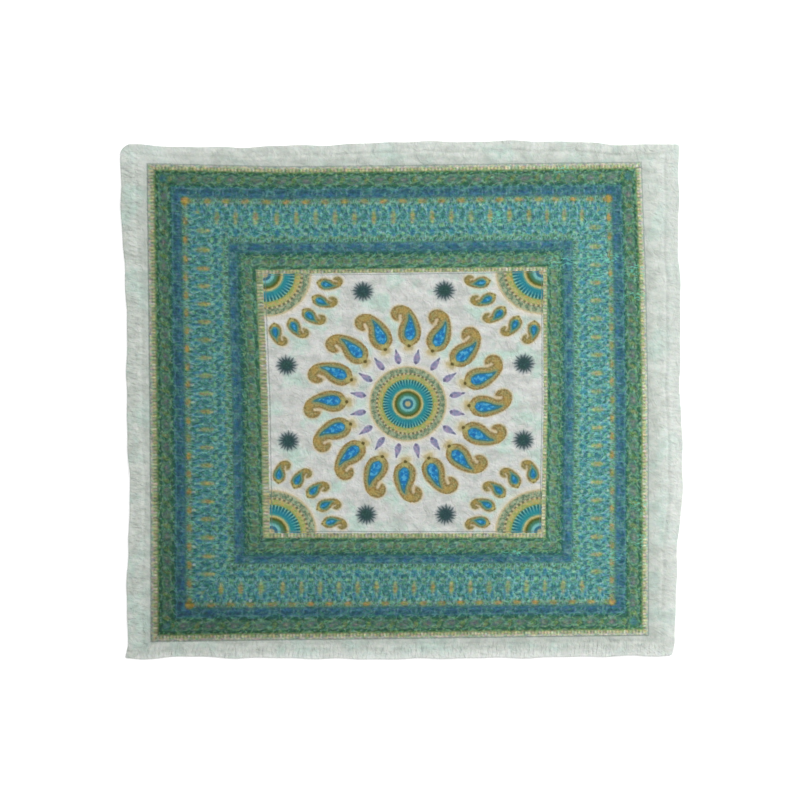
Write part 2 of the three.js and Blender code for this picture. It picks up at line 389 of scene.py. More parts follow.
def dye(code):
    """An sRGB hex colour as linear RGBA."""
    parts = [int(code[k : k + 2], 16) / 255 for k in (1, 3, 5)]
    return [c / 12.92 if c <= 0.04045 else ((c + 0.055) / 1.055) ** 2.4 for c in parts] + [1]


def add(kind, inputs=(), way=None, out=None, ramp=(), knots=(), **settings):
    """Adds a node to the tree in hand, with its settings and links, and returns an output, or all.
    A kind in capitals is a way that the Math node works."""
    kind, way = ("Math", kind) if kind.isupper() else (kind, way)
    node = tree.nodes.new("ShaderNode" + kind)
    if way:
        settings[picked_by[kind]] = way
    for name, value in settings.items():
        setattr(node, name, value)
    for k, (at, shade) in enumerate(ramp):
        stops = node.color_ramp.elements
        stop = stops[k] if k < 2 else stops.new(at)
        stop.position, stop.color = at, dye(shade)
    for k, (at, value) in enumerate(knots):
        line = node.mapping.curves[0].points
        knot = line[k] if k < 2 else line.new(at, value)
        knot.location = (at, value)
        knot.handle_type = "AUTO_CLAMPED"
    if knots:
        node.mapping.update()
    ready = [socket for socket in node.inputs if socket.enabled]
    named = {socket.name: socket for socket in reversed(ready)}
    for key, value in inputs.items() if isinstance(inputs, dict) else enumerate(inputs):
        socket = named[key] if isinstance(key, str) else ready[key]
        if isinstance(value, bpy.types.NodeSocket):
            tree.links.new(value, socket)
        else:
            socket.default_value = dye(value) if isinstance(value, str) else value
    given = [socket for socket in node.outputs if socket.enabled]
    if out == "all":
        return given
    return next((socket for socket in given if out in (None, socket.name)), None)


def apart(value, other):
    """How far apart two values are."""
    return add("ABSOLUTE", [add("SUBTRACT", [value, other])])


def spot(place, across, away, half_across, half_away, strength=1, blur=0.9):
    """How much of an oval of dye lies on a place of the pattern."""
    size = (1 / half_across, 1 / half_away, 0)
    centre = (-across / half_across, -away / half_away, 0)
    local = add("VectorMath", [place, size, centre], "MULTIPLY_ADD")
    far = add("VectorMath", [local], "LENGTH")
    return add("MapRange", [far, 1 + blur / 2, 1 - blur / 2, 0, strength], "SMOOTHSTEP")


def marks(place, table):
    """Layers of dye for a table of ovals, each row as spot takes it, and then its colour."""
    return [(spot(place, *oval), shade) for *oval, shade in table]


def stripe(value, low, high, strength=1, blur=1.0):
    """How much of a line of dye, from low to high, lies where the value is."""
    off, half = apart(value, (low + high) / 2), (high - low) / 2
    return add("MapRange", [off, half + blur / 2, half - blur / 2, 0, strength], "SMOOTHSTEP")


def curved(value, table):
    """The height at a value of a smooth curve through a table of places and heights."""
    places, heights = zip(*table)
    first, last, low, high = places[0], places[-1], min(heights), max(heights)
    knots = [((at - first) / (last - first), (height - low) / (high - low)) for at, height in table]
    share = add("MapRange", [value, first, last, 0, 1])
    share = add("FloatCurve", {"Value": share}, knots=knots)
    return add("MapRange", [share, 0, 1, low, high])


def patchy(across, up=None, detail=1.0, levels=(), way=None, out=None, **more):
    """Seeded soft patches about across by up mm, mapped by levels if given."""
    where = {"Vector": flat_place, "Scale": 1 / across}
    if up:
        stretched = add("VectorMath", [flat_place, (1 / across, 1 / up, 0)], "MULTIPLY")
        where = {"Vector": stretched, "Scale": 1.0}
    pattern = add("TexNoise", {**where, "Detail": detail, **more}, "2D", out=out)
    return add("MapRange", [pattern, *levels], way) if levels else pattern


def over(cloth, layers):
    """Prints layers over what is there: each a cover, a colour, and what the cover is kept within."""
    for cover, shade, *within in layers:
        for area in within:
            cover = add("MULTIPLY", [cover, area])
        cloth = add("Mix", [cover, cloth, shade], "RGBA")
    return cloth


def start_material(piece, name):
    """Gives a piece a new material, and returns its tree, empty."""
    material = bpy.data.materials.new(name)
    material.use_nodes = True
    material.node_tree.nodes.clear()
    piece.data.materials.append(material)
    return material.node_tree


# Dyed from its tips by a hot transfer, then crushed: soft-edged colours with a faint sheen.
tree = start_material(velvet, "heat-printed crushed polyester velvet")

# The dyes creep a little along the pile, so every edge of the print is frayed.
fray_size, fray_reach = 25 / 7, 0.8
flat_place = add("Attribute", out="Vector", attribute_name="print")
fray = patchy(fray_size, out="Color")
to_and_fro = [(2 * fray_reach, 2 * fray_reach, 0), (-fray_reach, -fray_reach, 0)]
fray = add("VectorMath", [fray, *to_and_fro], "MULTIPLY_ADD")
place = add("VectorMath", [flat_place, fray], "ADD")
p, q, _ = add("SeparateXYZ", [place], out="all")
folded = add("VectorMath", [place], "ABSOLUTE")
p_out, q_out, _ = add("SeparateXYZ", [folded], out="all")

# How far out from the centre line of its side, and how far along that side, anticlockwise.
out = add("MAXIMUM", [p_out, q_out])
sideways = add("GREATER_THAN", [p_out, q_out])
p_sign = add("SIGN", [p])
q_sign = add("SIGN", [q])
along_short = add("MULTIPLY", [p_sign, q])
along_long = add("MULTIPLY", [add("MULTIPLY", [q_sign, p]), -1])
along = add("Mix", [sideways, along_long, along_short], "FLOAT")


def per_side(left, right, bottom, top):
    """A value of its own for each side of the cloth."""
    short = add("MULTIPLY_ADD", [p_sign, (right - left) / 2, (right + left) / 2])
    long = add("MULTIPLY_ADD", [q_sign, (top - bottom) / 2, (top + bottom) / 2])
    return add("Mix", [sideways, long, short], "FLOAT")


# Each side's rows were printed a few mm along, the more the further out.
shift = per_side(left=-1.6, right=3.4, bottom=-3.0, top=0.7)
shift = add("MULTIPLY", [shift, add("MapRange", [out, 240, 358, 0, 1])])
along = add("SUBTRACT", [along, shift])

# Each repeat took the dyes a little differently.
uneven = patchy(21, levels=(0.36, 0.64, 0, 1))
mottle = patchy(3.4, detail=2.0)
patches = patchy(6.5, detail=1.5)

# The plain colours of the borders, from the field outwards, each from so far out.
plain_bands = [
    (231.4, "#B3B69A"), (239.2, "#4C7049"), (241.4, "#47745A"), (264.8, "#356860"),
    (270.4, "#42727A"), (285.4, "#5B8A72"), (295, "#528C87"), (352.8, "#588470"),
    (362.8, "#3A6A72"), (379.2, "#35685C"), (383.4, "#426C54"), (405.8, "#4A7048"),
    (409.2, "#A0A37A"), (416.8, "#BCC0AE"),
]
print_end, widest, creep = 422, 440, 1.0
stops = []
for (at, shade), (ends, _) in zip(plain_bands, [*plain_bands[1:], (print_end, None)]):
    stops += [((at + creep) / widest, shade), ((ends - creep) / widest, shade)]
border = add("ValToRGB", [add("DIVIDE", [out, widest])], ramp=stops)

# The broad border: orange bars and gold spindles in turn, among blue and green strokes. It is
# the same both ways from each bar.
bar_pitch = 32.06
half = bar_pitch / 2
from_bar = add("PINGPONG", [along, half])
broad = add("CombineXYZ", [from_bar, out])

# The green and blue borders repeat less often, and the green ones' marks lean a little.
scroll_pitch, scroll_slant = 40.2, 0.3
inner_middle, outer_middle = 252.5, 394.0
scroll_ends = [scroll_pitch / 2, -scroll_pitch / 2]
is_outer = add("GREATER_THAN", [out, 330])
scroll_middle = add("Mix", [is_outer, inner_middle, outer_middle], "FLOAT")
lean = add("MULTIPLY_ADD", [add("SUBTRACT", [out, scroll_middle]), scroll_slant, along])
scroll = add("CombineXYZ", [add("WRAP", [lean, *scroll_ends]), out])
wave = add("CombineXYZ", [add("WRAP", [along, *scroll_ends]), out])

# Fine curling lines and small blots of dye fill every border, nearly the same in each repeat.
in_broad = stripe(out, 286, 362)
in_green = add("ADD", [add("MapRange", [out, 381, 383, 0, 1]), stripe(out, 240, 268)])
broad_repeat = add("CombineXYZ", [add("WRAP", [along, half, -half]), out])
broad_repeat = add("VectorMath", [broad_repeat, (1 / 7.5, 1 / 11, 0)], "MULTIPLY")
scroll_repeat = add("VectorMath", [scroll, (1 / 15, 1 / 9, 0)], "MULTIPLY")
repeat = add("Mix", [in_broad, scroll_repeat, broad_repeat], "VECTOR")
drift = patchy(24, out="Color")
repeat = add("VectorMath", [drift, (1.2, 1.2, 0), repeat], "MULTIPLY_ADD")
curls = apart(add("TexNoise", {"Vector": repeat, "Scale": 1.0, "Detail": 0.4}, "2D"), 0.5)
curl_dye = add("Mix", [in_green, "#88C2C4", "#8FB68C"], "RGBA")
blots = add("TexNoise", {"Vector": repeat, "Scale": 1.4, "Detail": 1.0}, "2D")
fainter = add("MapRange", [add("MULTIPLY_ADD", [in_green, 0.6, in_broad]), 0, 1, 0.42, 1])
fine_marks = [
    (add("MapRange", [blots, 0.48, 0.35, 0, 0.48]), "#1F4A4A", fainter),
    (add("MapRange", [blots, 0.54, 0.67, 0, 0.46]), "#82B4A6", fainter),
    (add("MapRange", [curls, 0, 0.085, 0.5, 0]), curl_dye, fainter),
]
border = over(border, fine_marks)

gold = add("Mix", [uneven, "#A8A264", "#92A878"], "RGBA")
amber = add("Mix", [uneven, "#B0904C", "#97965E"], "RGBA")
broad_marks = [
    # along, out, half along, half out, strength, colour
    (half, 357.2, 5.4, 4.4, 0.4, "#6C9478"),
    (half, 351.3, 4.2, 3, 0.55, "#356C58"),
    (10.6, 341.4, 3, 7.6, 0.65, "#3A7E98"),
    (0, 344, 2.4, 3.8, 0.5, "#5E9070"),
    (0, 339.2, 2.3, 2.2, 0.5, "#74B0AA"),
    (0, 331, 4.4, 7, 0.65, "#2F6E74"),
    (10.8, 328, 2.2, 10.5, 0.35, "#5A9090"),
    (half, 328.6, 5.8, 13.4, 0.6, "#6E9066"),
    (half, 329, 3.6, 10.2, 0.75, gold),
    (half, 327.6, 1.7, 6, 0.2, "#A07C3C"),
    (half, 320.2, 2.4, 3, 0.5, "#B2BE8E"),
    (half, 341.9, 2.8, 2.8, 0.6, "#86B4A8"),
    (0, 318.3, 4.2, 3.4, 0.55, "#5A8C68"),
    (0, 313.8, 5, 2.4, 0.65, "#84BA90"),
    (0, 306.8, 5, 3.4, 0.7, "#30646C"),
    (half, 313.2, 2.3, 3.4, 0.6, "#8CC0B8"),
    (half, 302.4, 4, 6.2, 0.75, "#347E92"),
    (0, 300.4, 2.8, 3, 0.65, "#90BCA0"),
    (0, 295.8, 2.6, 2.2, 0.5, "#74A886"),
    (8.8, 295.6, 3, 2.8, 0.5, "#82AA84"),
    (half, 293.4, 3.6, 2.2, 0.4, "#7CA27C"),
    (0, 362.8, 6.4, 1.6, 0.4, "#4A6650"),
    (9.2, 354.4, 3.2, 3.6, 0.55, "#86B4A0"),
    (0, 357.2, 8.6, 5.6, 0.6, "#7C8C62"),
    (0, 356.9, 6, 3.3, 0.75, amber),
    (0, 350, 2.4, 3, 0.6, "#A8C2B4"),
]
# A pale blue line arches round each spindle, and a thinner one round each oval between.
arch_half = [(293, -3), (299, 3.6), (304, 6.4), (311, 8), (320, 8.6), (331, 9), (341, 8.2), (349, 6.2)]
arch_half = curved(out, [*arch_half, (354, 3), (358, -3)])
arch_gap = 5.4
off_arch = add("SUBTRACT", [add("SUBTRACT", [half, from_bar]), arch_half])
inner_arch = add("ADD", [off_arch, arch_gap])
broken = add("MapRange", [patches, 0.42, 0.58, 0.15, 1])
layers = [
    (stripe(off_arch, -1, 1.2, 0.55, 2.2), "#7CBAC0", broken),
    (stripe(inner_arch, -0.5, 0.8, 0.35, 1.6), "#80BCB4", broken),
    *marks(broad, broad_marks),
]

# The outer green border holds mauve ovals with a gold stroke between, and the inner one teal
# ovals with a brown one on each side.
leafy = add("Mix", [uneven, "#728E56", "#828E58"], "RGBA")
scroll_marks = [
    (0, 393.9, 13, 9, 0.45, 0.4, "#7FA892"),
    (0, 393.9, 11.2, 7.2, 0.65, 0.45, "#44705E"),
    (8.6, 393.8, 4.4, 4.6, 0.4, 1, "#3A645C"),
    (-1, 393.9, 7.4, 5, 0.7, 0.8, "#66706C"),
    (-2.5, 394.6, 4, 1.8, 0.35, 1, "#8A8C86"),
    (19.6, 394.8, 4, 6.6, 0.55, 0.9, leafy),
    (-20.6, 394.8, 4, 6.6, 0.55, 0.9, leafy),
    (15, 400.6, 4.4, 1.8, 0.35, 1, "#88AC8C"),
    (-15.4, 387.6, 4.4, 1.8, 0.35, 1, "#88AE92"),
    (14, 386.6, 4, 2.4, 0.35, 1, "#30604C"),
    (-14, 401, 4, 2.4, 0.35, 1, "#30604C"),
    (12.2, 252.4, 6.8, 6.8, 0.4, 0.4, "#7CA88A"),
    (-12, 252.4, 6.8, 6.8, 0.4, 0.4, "#7CA88A"),
    (12.2, 252.4, 4.8, 4.6, 0.6, 0.9, "#747A62"),
    (-12, 252.4, 4.8, 4.6, 0.6, 0.9, "#747C64"),
    (0, 253.2, 7.4, 6.8, 0.45, 0.4, "#7EAC98"),
    (0, 253.2, 5.4, 5, 0.7, 0.6, "#41686A"),
    (0, 254.2, 2.6, 1.8, 0.4, 1, "#749490"),
    (20, 252, 2.8, 5.4, 0.5, 1, leafy),
    (-20, 252, 2.8, 5.4, 0.5, 1, leafy),
]
# The two blue borders: navy ovals, each bright blue along its side next to the broad border.
blue_marks = [
    (1.5, 372.6, 12, 4.8, 0.7, 1.2, "#2C5468"),
    (0, 367.4, 9, 3.4, 0.7, 1.4, "#3A6C8A"),
    (20, 375, 6.4, 3.4, 0.4, 1, "#44786E"),
    (-20, 375, 6.4, 3.4, 0.4, 1, "#44786E"),
    (19, 366.4, 6, 2.4, 0.4, 1, "#5E8488"),
    (-19, 366.4, 6, 2.4, 0.4, 1, "#5E8488"),
    (-11, 370, 1.6, 4.2, 0.35, 1, "#74A0AC"),
    (12, 370.6, 1.6, 4.2, 0.35, 1, "#74A0AC"),
    (0.5, 275.8, 12, 3.8, 0.7, 1.2, "#2C5870"),
    (0, 280, 9.4, 3.2, 0.65, 1.4, "#3D7390"),
    (20, 277, 5.6, 4.2, 0.4, 1, "#5A8480"),
    (-20, 277, 5.6, 4.2, 0.4, 1, "#5A8480"),
    (-12.8, 279.4, 1.6, 3.6, 0.35, 1, "#7CA2AC"),
    (13.4, 279.4, 1.6, 3.6, 0.35, 1, "#7CA2AC"),
]
layers += marks(scroll, scroll_marks) + marks(wave, blue_marks)

# The blues run into the broad border. A square closes the rows at each corner.
layers += [(stripe(out, 361.4, 365.4, 0.5, 4.4), "#4C7A78"), (stripe(out, 283.4, 286.6, 0.4, 3.6), "#507C76")]
corner_marks = [
    (394.8, 394.8, 9.5, 9.5, 0.7, 0.55, "#44785F"),
    (394.8, 394.8, 6, 6.5, 0.7, 0.55, "#4A7A84"),
    (357.4, 357.4, 7.4, 7.4, 0.7, 0.55, "#75763C"),
    (357.2, 357.2, 5.2, 5.2, 0.8, 1, "#B8994C"),
]
layers += marks(folded, corner_marks)

# The marks took well in some places and hardly in others.
taken = patchy(15, detail=2.0, levels=(0.36, 0.6, 0.65, 1))
border = add("Mix", [taken, border, over(border, layers)], "RGBA")

# A ladder of cream, gold and olive bars edges the print and the field.
tick_pitch = 5.75
tick = add("DIVIDE", [along, tick_pitch])
# Numbers that tell the ticks of one side from those of the next.
short_number, long_number = 57, 131.0
tick_number = add("MULTIPLY_ADD", [p_sign, short_number, add("FLOOR", [tick])])
tick_number = add("MULTIPLY_ADD", [q_sign, long_number, tick_number])
tick_dye = add("TexWhiteNoise", [tick_number], "1D")
tick_dyes = [(0, "#B8C0A2"), (0.3, "#B2B68A"), (0.55, "#A0AE8A"), (0.75, "#B4B48A"), (0.9, "#C0C6AE")]
tick_dye = add("ValToRGB", [tick_dye], ramp=tick_dyes)
rung = add("SINE", [add("MULTIPLY", [tick, 2 * math.pi])])
rung = add("MapRange", [rung, -0.9, 0.5, 0.55, 0])
ladder = add("ADD", [stripe(out, 409.9, 417, 1, 2), stripe(out, 232.3, 239, 1, 1.8)])
ladders = [
    (ladder, tick_dye),
    (rung, "#6E7E5C", ladder),
    (stripe(out, 415.4, 419, 0.5, 1.8), "#BCC2B2"),
    (stripe(out, 407.6, 411.2, 0.45, 2.4), "#5F8050"),
    (stripe(out, 237.6, 241, 0.35, 2.4), "#6F9466"),
]
border = over(border, ladders)

# The pale ground of the field and the margin, in patches of mint.
minty = patchy(52, detail=3.0, levels=(0.46, 0.68, 0, 1), way="SMOOTHSTEP", Roughness=0.6)
smudges = patchy(26, 17, detail=2.0, Roughness=0.6)
dull = add("MapRange", [smudges, 0.5, 0.34, 0, 0.42])
bright = add("MapRange", [smudges, 0.52, 0.68, 0, 0.5])
ground = add("Mix", [minty, "#CFD1CD", "#BED6CA"], "RGBA")
ground = over(ground, [(dull, "#ABB3AC"), (bright, "#E0E3DF")])

# The margin is of one tone, greyer beside the print and halfway up the right, and paler in a corner.
# Towards the hem's edge it is paler still, a painted highlight where the hem catches the light, most of all
# along the bottom.
margin = add("Mix", [minty, "#CAD1C9", "#C2D5CB"], "RGBA")
painted_hem_light = per_side(left=0, right=0.35, bottom=0.9, top=0.25)
margin_layers = [
    (dull, "#ABB3AC"),
    (bright, "#DFE4DE"),
    (add("MapRange", [out, 441, 424, 0, 0.24]), "#98A098"),
    (painted_hem_light, "#F0F4F0", add("MapRange", [out, 438, 462, 0, 1])),
    (spot(flat_place, -420, 440, 70, 30, 0.35, 1.2), "#E6EBE6"),
    (spot(flat_place, 490, 280, 50, 240, 0.3, 1.2), "#B4BEB6"),
]
margin = over(margin, margin_layers)

# Rings: the medallion in the middle, and a quarter of a larger one in each corner of the field.
# Each ring's radius in mm in the medallion, and its colour.
rings = [
    (0, "#B8A076"), (2.4, "#B6AE86"), (3.8, "#A3AA88"), (5.6, "#3F6F80"),
    (8.4, "#366C80"), (10.4, "#7CBABC"), (12.8, "#74B2AA"), (15, "#4A8270"),
    (17.8, "#4B7654"), (19.8, "#4E6230"), (21.6, "#5E602E"), (23.4, "#A39A5E"),
    (25.2, "#BDB886"), (27, "#6F9C84"), (29.2, "#348C8E"), (36, "#2C8892"),
    (38.6, "#2A7278"), (41.6, "#46806C"), (43.6, "#84945A"), (46, "#ABAC6C"),
    (50.4, "#B2B076"), (52.2, "#928F62"), (54.4, "#84886A"), (56.4, "#7F9478"),
    (61.4, "#84967A"), (63.4, "#9A9C7C"), (65.2, "#BDB48E"), (67.2, "#CEC4A8"),
]
field_half, corner_reach, largest_ring = 229.6, 141, 70
medallion_centre = (2.9, -1.8, 0)
narrowing, growth, widening = 0.973, 1.12, 1.03
centred = add("VectorMath", [place, medallion_centre], "SUBTRACT")
cornered = add("VectorMath", [(field_half, field_half, 0), folded], "SUBTRACT")
from_centre = add("VectorMath", [centred], "LENGTH")
to_corner = add("VectorMath", [cornered], "LENGTH")
in_corner = add("LESS_THAN", [to_corner, corner_reach])
round_centre = add("VectorMath", [centred, (1 / narrowing, 1, 1)], "MULTIPLY")
shrink = (1 / growth / widening, 1 / growth, 1)
round_corner = add("VectorMath", [cornered, shrink], "MULTIPLY")
rosette = add("Mix", [in_corner, round_centre, round_corner], "VECTOR")
radius = add("VectorMath", [rosette], "LENGTH")
rosette_x, rosette_y, _ = add("SeparateXYZ", [rosette], out="all")
bearing = add("ARCTAN2", [rosette_y, rosette_x])
ring_stops = [(at / largest_ring, shade) for at, shade in rings]
ring = add("ValToRGB", [add("DIVIDE", [radius, largest_ring])], ramp=ring_stops)


def beads(count):
    """A wave that rises as often as this round the rosette."""
    return add("SINE", [add("MULTIPLY", [bearing, count])])


def tiles(pattern, start, full, strength, low, high, blur=1.6):
    """Marks where a pattern lies between two levels, in a ring from low to high."""
    cover = add("MapRange", [pattern, start, full, 0, strength])
    return add("MULTIPLY", [cover, stripe(radius, low, high, 1, blur)])


# Fifty aqua dashes, forty-six cream and brown dots, and a mosaic of light and dark green.
dashes, dots = beads(50), beads(46)
brighter = add("MapRange", [radius, 33, 41, 0.12, 0.85])
ring_marks = [
    (stripe(radius, 29, 40, 0.4, 2), "#2C7496", uneven),
    (tiles(dashes, 0.1, 0.8, 0.8, 32, 43.2, 1.8), "#88C4BC", brighter),
    (tiles(dashes, 0, -0.8, 0.8, 32, 43.2, 1.8), "#1C5A68", brighter),
    (tiles(dots, 0.1, 0.7, 0.7, 51.4, 55.2), "#C9C3A0"),
    (tiles(dots, -0.1, -0.7, 0.75, 51.4, 55.2), "#5E5C4A"),
    (tiles(patches, 0.52, 0.6, 0.55, 55.8, 64.6), "#A9BE9E"),
    (tiles(patches, 0.48, 0.4, 0.7, 55.8, 64.6), "#5A7860"),
    (tiles(mottle, 0.54, 0.64, 0.5, 44, 65.5), "#B8A888"),
    (tiles(patches, 0.5, 0.6, 0.6, 43, 52), "#86A052"),
    (tiles(patches, 0.46, 0.36, 0.55, 44, 52.5), "#BA9C56"),
]
ring = over(ring, ring_marks)
ring_glow = add("MapRange", [radius, 77, 66, 0, 0.8], "SMOOTHSTEP")
on_ring = add("MapRange", [radius, 68.2, 67, 0, 1])
field = over(ground, [(ring_glow, "#DCD4C2"), (on_ring, ring)])

# Sixteen paisleys stand round the medallion and five smaller ones round each corner. Each has
# its own flat place, across and away from the middle of its rosette, in mm.
ring_step, corner_step = 2 * math.pi / 16, math.pi / 10


def spoke(turn, reach):
    """How far a place is across from a spoke of its rosette, and how far out along it."""
    return [add("MULTIPLY", [add(part, [turn]), reach]) for part in ("SINE", "COSINE")]


centre_x, centre_y, _ = add("SeparateXYZ", [centred], out="all")
centre_bearing = add("ARCTAN2", [centre_y, centre_x])
ring_turn = add("WRAP", [centre_bearing, ring_step / 2, -ring_step / 2])
corner_turn = add("SUBTRACT", [corner_step / 2, add("WRAP", [bearing, corner_step, 0])])
turn = add("Mix", [in_corner, ring_turn, corner_turn], "FLOAT")
reach = add("Mix", [in_corner, from_centre, to_corner], "FLOAT")
large = add("CombineXYZ", spoke(turn, reach))
small_scale, small_shift = (1.84, 1.75, 0), (-1.5, -51.4, 0)
small = add("VectorMath", [large, small_scale, small_shift], "MULTIPLY_ADD")
motif = add("Mix", [in_corner, large, small], "VECTOR")
aside, away, _ = add("SeparateXYZ", [motif], out="all")

# The body is a drop on a bent spine, here by its distance from the rosette's middle. The hook is
# a disc with a slot in it, which leaves a round end.
spine = [(92, -3.2), (100, -3.9), (112, -4.9), (134, -5.6), (148, -6.3), (156, -5.1), (165, -1.6)]
spine = curved(away, [*spine, (170, 1.1), (176, 7.2), (182, 11)])
body_half = [(92, -16), (99, -4), (101.5, 1), (104, 6.2), (107, 10.6), (112, 15.4), (118, 18), (125, 18.8)]
body_half += [(134, 17.9), (140, 16.2), (150, 12.3), (161.5, 9.2), (168.4, 7.3), (172.5, 5.3), (175.4, 0)]
body_half = curved(away, [*body_half, (182, -16)])
off_spine = add("SUBTRACT", [aside, spine])
in_body = add("SUBTRACT", [body_half, add("ABSOLUTE", [off_spine])])
hook_centre, hook_radius = (10.4, 160.5, 0), 14.5
slot_across, slot_end, slot_half = 9.7, 156.6, 2.8
hook_rounding, join_rounding = 8, 1.0
in_hook = add("SUBTRACT", [hook_radius, add("VectorMath", [motif, hook_centre], "DISTANCE")])
past_slot = add("MAXIMUM", [add("SUBTRACT", [away, slot_end]), 0])
off_slot = add("SUBTRACT", [aside, slot_across])
off_slot = add("VectorMath", [add("CombineXYZ", [off_slot, past_slot])], "LENGTH")
off_slot = add("SUBTRACT", [off_slot, slot_half])
in_hook = add("SMOOTH_MIN", [in_hook, off_slot, hook_rounding])
in_paisley = add("SMOOTH_MAX", [in_body, in_hook, join_rounding])

# Inside the body a blue drop, outlined in dark teal and pale green. It is shorter in the small
# ones.
blue_half = [(92, -20), (109, -4.5), (112.8, 1.5), (116.5, 7.3), (121, 9.6), (126.5, 10.2), (134, 8.9)]
blue_half += [(140, 7.2), (146.5, 5.2), (152.8, 3.4), (157.8, 1.6), (162, -2), (170, -8), (182, -20)]
blue_middle, blue_aside = 131, -0.9
shorter = add("MapRange", [apart(away, blue_middle), 6, 22, 0, 6])
shorter = add("MULTIPLY", [shorter, in_corner])
blue_half = add("SUBTRACT", [curved(away, blue_half), shorter])
in_blue = add("SUBTRACT", [blue_half, apart(off_spine, blue_aside)])

# The small ones are printed more softly, and have no petals at the foot.
softer = add("MapRange", [in_corner, 0, 1, 1, 0.5])
petals = add("SUBTRACT", [1, in_corner], use_clamp=True)
in_edge = add("MULTIPLY", [in_paisley, softer])
in_drop = add("MULTIPLY", [in_blue, softer])
body = add("MapRange", [in_edge, -2.3, 1.8, 0, 1], "SMOOTHSTEP")
browner = add("MapRange", [patches, 0.4, 0.6, 0, 1])
brown_gold = add("Mix", [browner, "#8B895B", "#9A814F"], "RGBA")
brown_gold = add("Mix", [add("MULTIPLY", [in_corner, 0.6]), brown_gold, "#7E8856"], "RGBA")
tip = add("MapRange", [away, 138, 156, 0, 1])
sky = add("Mix", [tip, "#1C84BC", "#4A848A"], "RGBA")
in_sky = add("MapRange", [in_drop, 1, 5.2, 0, 1], "SMOOTHSTEP")
dot = add("MapRange", [in_corner, 0, 1, 0.82, 0.5])
paisley = [
    (spot(motif, -3.6, 99, 13, 10, 0.75, 1.1), "#D6CEB0", petals),
    (add("MapRange", [in_edge, -5.6, -1, 0, 0.7], "SMOOTHSTEP"), "#D2C7A8"),
    (spot(motif, slot_across + 0.6, slot_end - 4, 4.6, 9.5, 0.8), "#CDBB98"),
    (body, brown_gold),
    (add("MapRange", [mottle, 0.51, 0.6, 0, 0.55]), "#B6A674", body),
    (add("MapRange", [mottle, 0.48, 0.38, 0, 0.5]), "#74663C", body),
    (stripe(in_edge, 0.2, 2.8, 0.36, 2.2), "#86683E"),
    (stripe(in_edge, 4.2, 6.4, 0.28, 2.2), "#B2A268"),
    (spot(motif, 3.5, 166.5, 8, 5, 0.4, 1.4), "#B8984C"),
    (spot(motif, -4.6, 109.2, 6.4, 3.8, 0.65, 1.2), "#BAB676"),
    (add("MapRange", [in_blue, -4.8, -1, 0, 0.8], "SMOOTHSTEP"), "#829672"),
    (add("MapRange", [in_blue, -9, -1, 0, 0.9], "SMOOTHSTEP"), "#5A8C7A", in_corner),
    (add("MapRange", [in_blue, -0.9, 1.3, 0, 0.85], "SMOOTHSTEP"), "#2E6E74"),
    (in_sky, sky),
    (add("MapRange", [patches, 0.53, 0.61, 0, 0.75]), "#66B6D8", in_sky),
    (add("MapRange", [patches, 0.47, 0.39, 0, 0.75]), "#1A62A2", in_sky),
    (spot(motif, -5.8, 139, 2.6, 5.5, 0.35, 1.2), "#1874AC"),
    (spot(motif, -5.2, 131, 4, 3.6, 0.3, 1.2), "#4C9CC8"),
    (spot(motif, -4.8, 123.6, 4.6, 4, 0.4, 1.2), "#1470B0"),
    (spot(motif, -4.8, 117, 5.4, 2.2, 0.4, 1.2), "#5AA4CC"),
    (spot(motif, -4.2, 103, 7.2, 4.2, 0.6, 1.2), "#AEA46C"),
    (spot(motif, -6.6, 98.6, 5, 4.2, 0.65, 1.1), "#A69868", petals),
    (spot(motif, 0.2, 98.4, 5.2, 4.4, 0.65, 1.1), "#B6A66E", petals),
    (spot(motif, -4, 102.8, 3.1, 2.8, 1, 0.8), "#443C14", dot),
]

# A lavender leaf between every two paisleys, pointing at the medallion.
leaf_turn = add("SUBTRACT", [add("WRAP", [centre_bearing, ring_step, 0]), ring_step / 2])
leaf_aside, leaf_away = spoke(leaf_turn, from_centre)
leaf = add("CombineXYZ", [leaf_aside, leaf_away])
leaf_half = [(66, -6), (70.2, -1), (72.6, 2.2), (76, 4.8), (80.5, 5.8), (86, 4.9), (91, 3.2)]
leaf_half = curved(leaf_away, [*leaf_half, (95, 1.5), (98.8, 0), (102, -6)])
leaf_middle = -0.6
in_leaf = add("SUBTRACT", [leaf_half, apart(leaf_aside, leaf_middle)])
lilac = add("Mix", [browner, "#848AA6", "#9C8EAC"], "RGBA")
leaves = [
    (add("MapRange", [in_leaf, -4.5, -0.5, 0, 0.55], "SMOOTHSTEP"), "#DCDCE2"),
    (add("MapRange", [in_leaf, -1.2, 1.5, 0, 0.95], "SMOOTHSTEP"), lilac),
    (spot(leaf, -0.6, 94.6, 1.9, 3.6, 0.7, 1), "#5E6478"),
    (spot(leaf, -0.4, 74.4, 2.8, 2.6, 0.75, 1), "#5A5C74"),
    (spot(leaf, 2, 82, 1.6, 4.5, 0.45, 1), "#6C7098"),
]

# Eight dark stars with sixteen rays, every second one a little longer.
star_place = (198.5, 67.6)
ray_count, ray_length, ray_taper, core_radius = 16, 20.2, 56, 11.0
star_out = add("SUBTRACT", [out, star_place[0]])
star_near = add("SUBTRACT", [add("MINIMUM", [p_out, q_out]), star_place[1]])
star = add("CombineXYZ", [star_out, star_near])
star_far = add("VectorMath", [star], "LENGTH")
star_turn = add("ARCTAN2", [star_near, star_out])
star_turn = add("MULTIPLY_ADD", [uneven, 0.12, star_turn])
off_ray = add("PINGPONG", [star_turn, math.pi / ray_count])
longer = add("COSINE", [add("MULTIPLY", [star_turn, ray_count / 2])])
ray_tip = add("MULTIPLY_ADD", [longer, 1, ray_length])
ray_end = add("SUBTRACT", [ray_tip, add("MULTIPLY", [off_ray, ray_taper])])
ray_end = add("SUBTRACT", [star_far, add("MAXIMUM", [ray_end, core_radius])])
rays = add("MapRange", [ray_end, 2, -3.2, 0, 1], "SMOOTHSTEP")
